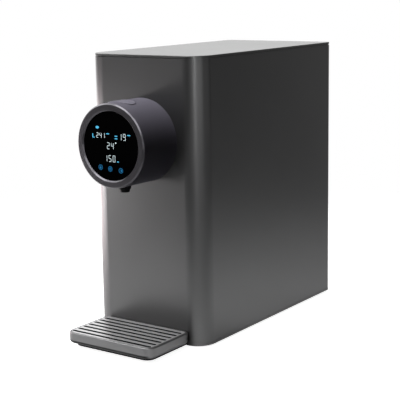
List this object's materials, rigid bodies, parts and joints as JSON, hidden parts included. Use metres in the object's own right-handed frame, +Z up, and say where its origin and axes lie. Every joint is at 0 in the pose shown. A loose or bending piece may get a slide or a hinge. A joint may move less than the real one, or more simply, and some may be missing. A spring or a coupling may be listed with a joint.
{
  "type": "countertop water dispenser",
  "caption": "Tall narrow countertop water dispenser with a round display head, top button, spout, slotted drip tray, rear tank and twist-in filters.",
  "frame": {"origin": "on the worktop under the middle of the whole footprint, drip tray included", "axes": "+Z up, -Y the front with the display head, +X to the right seen from the front"},
  "size_m": [0.1928, 0.45, 0.4025],
  "materials": {
    "casing_sheet": "fine satin paint, dark grey",
    "cover_moulding": "satin, dark grey",
    "head_shell": "satin, dark purple-grey",
    "black_moulding": "fine matt grain, black",
    "grey_moulding": "satin, dark grey",
    "grille_steel": "brushed along the bars",
    "foot_rubber": "matt",
    "display_glass": "gloss black",
    "white_moulding": "fine matt",
    "tank_moulding": "smoky, clear",
    "lid_moulding": "fine matt",
    "circuit_board": "green lacquer",
    "works_sheet": "zinc plated",
    "works_plastic": "fine matt",
    "motor_steel": "drawn steel",
    "hose": "milky, smooth",
    "screw_steel": "plated",
    "pin_brass": "plated"
  },
  "bodies": {
    "cabinet": {"base_pan": "black_moulding", "bezel_ring": "head_shell", "booster_pump": "works_plastic", "bulkhead": "works_sheet", "button_switch": "circuit_board", "casing_wrap": "casing_sheet", "control_board": "circuit_board", "deck_screws": "screw_steel", "delivery_hose": "hose", "delivery_pump": "works_plastic", "display_board": "circuit_board", "display_glass": "display_glass", "display_light_guide": "white_moulding", "display_retainer": "white_moulding", "feed_hose": "hose", "feet": "foot_rubber", "filter_manifold": "white_moulding", "flush_valve": "works_plastic", "head_housing": "head_shell", "head_screws": "screw_steel", "heater": "motor_steel", "heater_hose": "hose", "heater_thermostat": "works_plastic", "inlet_pins": "pin_brass", "panel_screws": "screw_steel", "power_board": "circuit_board", "power_inlet": "black_moulding", "pressure_hose": "hose", "pump_bracket": "works_sheet", "pump_motor": "motor_steel", "pump_mounts": "foot_rubber", "pure_hose": "hose", "pure_water_box": "white_moulding", "quality_probes": "works_plastic", "rear_panel": "black_moulding", "spout_hose": "hose", "spout_nozzle": "black_moulding", "spout_nut": "black_moulding", "tank_cradle": "white_moulding", "tank_dock": "white_moulding", "upper_deck": "white_moulding"},
    "cover": {"top_cover": "cover_moulding"},
    "button": {"dispense_button": "head_shell"},
    "tray": {"drip_tray": "grey_moulding"},
    "grille": {"drip_grille": "grille_steel"},
    "tank": {"raw_water_tank": "tank_moulding", "tank_lid": "lid_moulding", "tank_outlet": "white_moulding", "outlet_seal": "foot_rubber"},
    "left_filter": {"left_filter_cartridge": "white_moulding", "left_filter_seals": "foot_rubber"},
    "right_filter": {"right_filter_cartridge": "white_moulding", "right_filter_seals": "foot_rubber"}
  },
  "joints": [
    {"name": "button_press", "type": "slide", "parent": "cabinet", "child": "button", "axis": [0, 0, -1], "range_m": [0, 0.0012], "stiffness_N_per_m": 900, "springref_m": -0.0008},
    {"name": "tray_slide", "type": "slide", "parent": "cabinet", "child": "tray", "axis": [0, -1, 0], "range_m": [0, 0.09]},
    {"name": "grille_lift", "type": "slide", "parent": "tray", "child": "grille", "axis": [0, 0, 1], "range_m": [0, 0.03]},
    {"name": "tank_pull", "type": "slide", "parent": "cabinet", "child": "tank", "axis": [0, 1, 0], "range_m": [0, 0.165]},
    {"name": "cover_lift", "type": "slide", "parent": "cabinet", "child": "cover", "axis": [0, 0, 1], "range_m": [0, 0.05]},
    {"name": "left_filter_twist", "type": "hinge", "parent": "cabinet", "child": "left_filter", "pos_m": [-0.039, 0.04635, 0.0784], "axis": [0, 0, 1], "range_deg": [0, 90]},
    {"name": "right_filter_twist", "type": "hinge", "parent": "cabinet", "child": "right_filter", "pos_m": [0.039, 0.04635, 0.0784], "axis": [0, 0, 1], "range_deg": [0, 90]}
  ]
}
